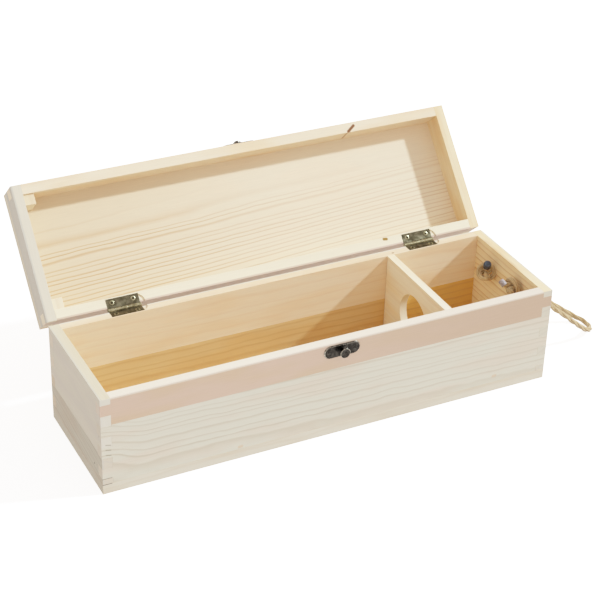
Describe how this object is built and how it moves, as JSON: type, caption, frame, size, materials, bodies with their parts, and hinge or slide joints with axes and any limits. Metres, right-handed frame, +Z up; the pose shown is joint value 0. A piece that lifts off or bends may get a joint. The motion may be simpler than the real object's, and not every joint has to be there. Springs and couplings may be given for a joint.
{
  "type": "wooden wine box",
  "caption": "Finger-jointed pine box for one wine bottle, with a hinged lid standing open, a divider with a round neck hole, a hook clasp and a rope handle.",
  "frame": {"origin": "middle of the box's underside, on the surface that it stands on", "axes": "+X along the box to the end with the rope handle, -Y to the front with the clasp, +Z up"},
  "size_m": [0.4241, 0.195, 0.1516],
  "materials": {
    "pine": "planed, unfinished pine",
    "pale_pine": "planed, unfinished pale pine",
    "pink_pine": "planed, unfinished pinkish pine",
    "gold_pine": "planed, unfinished golden pine",
    "bronze": "antiqued stamped brass with worn bright edges",
    "dark_bronze": "blackened stamped brass",
    "rope": "laid straw-coloured hemp rope"
  },
  "bodies": {
    "box": {"front_upper_board": "pink_pine", "front_lower_board": "pale_pine", "back_upper_board": "pine", "back_lower_board": "gold_pine", "left_end_upper_board": "pale_pine", "left_end_lower_board": "pink_pine", "right_end_board": "pine", "bottom_panel": "pine", "divider": "pine", "left_hinge_body_leaf": "bronze", "left_hinge_pin": "bronze", "right_hinge_body_leaf": "bronze", "right_hinge_pin": "bronze", "hinge_body_screws": "bronze", "clasp_body_plate": "dark_bronze", "clasp_knob": "dark_bronze", "clasp_body_nails": "dark_bronze", "rope_handle": "rope", "rope_back_knot": "rope", "rope_front_knot": "rope"},
    "lid": {"lid_front_rail": "pine", "lid_back_rail": "pine", "lid_left_rail": "pale_pine", "lid_right_rail": "pine", "lid_panel": "pale_pine", "lid_front_block": "pine", "lid_back_block": "pine", "left_hinge_lid_leaf": "bronze", "right_hinge_lid_leaf": "bronze", "hinge_lid_screws": "bronze", "clasp_lid_plate": "dark_bronze", "clasp_rivet": "dark_bronze", "clasp_lid_nails": "dark_bronze"},
    "hook": {"clasp_hook": "dark_bronze"}
  },
  "joints": [
    {"name": "lid_hinge", "type": "hinge", "parent": "box", "child": "lid", "pos_m": [0, 0.0517, 0.0762], "axis": [1, 0, 0], "range_deg": [0, 132]},
    {"name": "hook_swing", "type": "hinge", "parent": "lid", "child": "hook", "pos_m": [0.0022, 0.12613, 0.14885], "axis": [0, -0.6691, -0.7431], "range_deg": [-90, 180]}
  ]
}
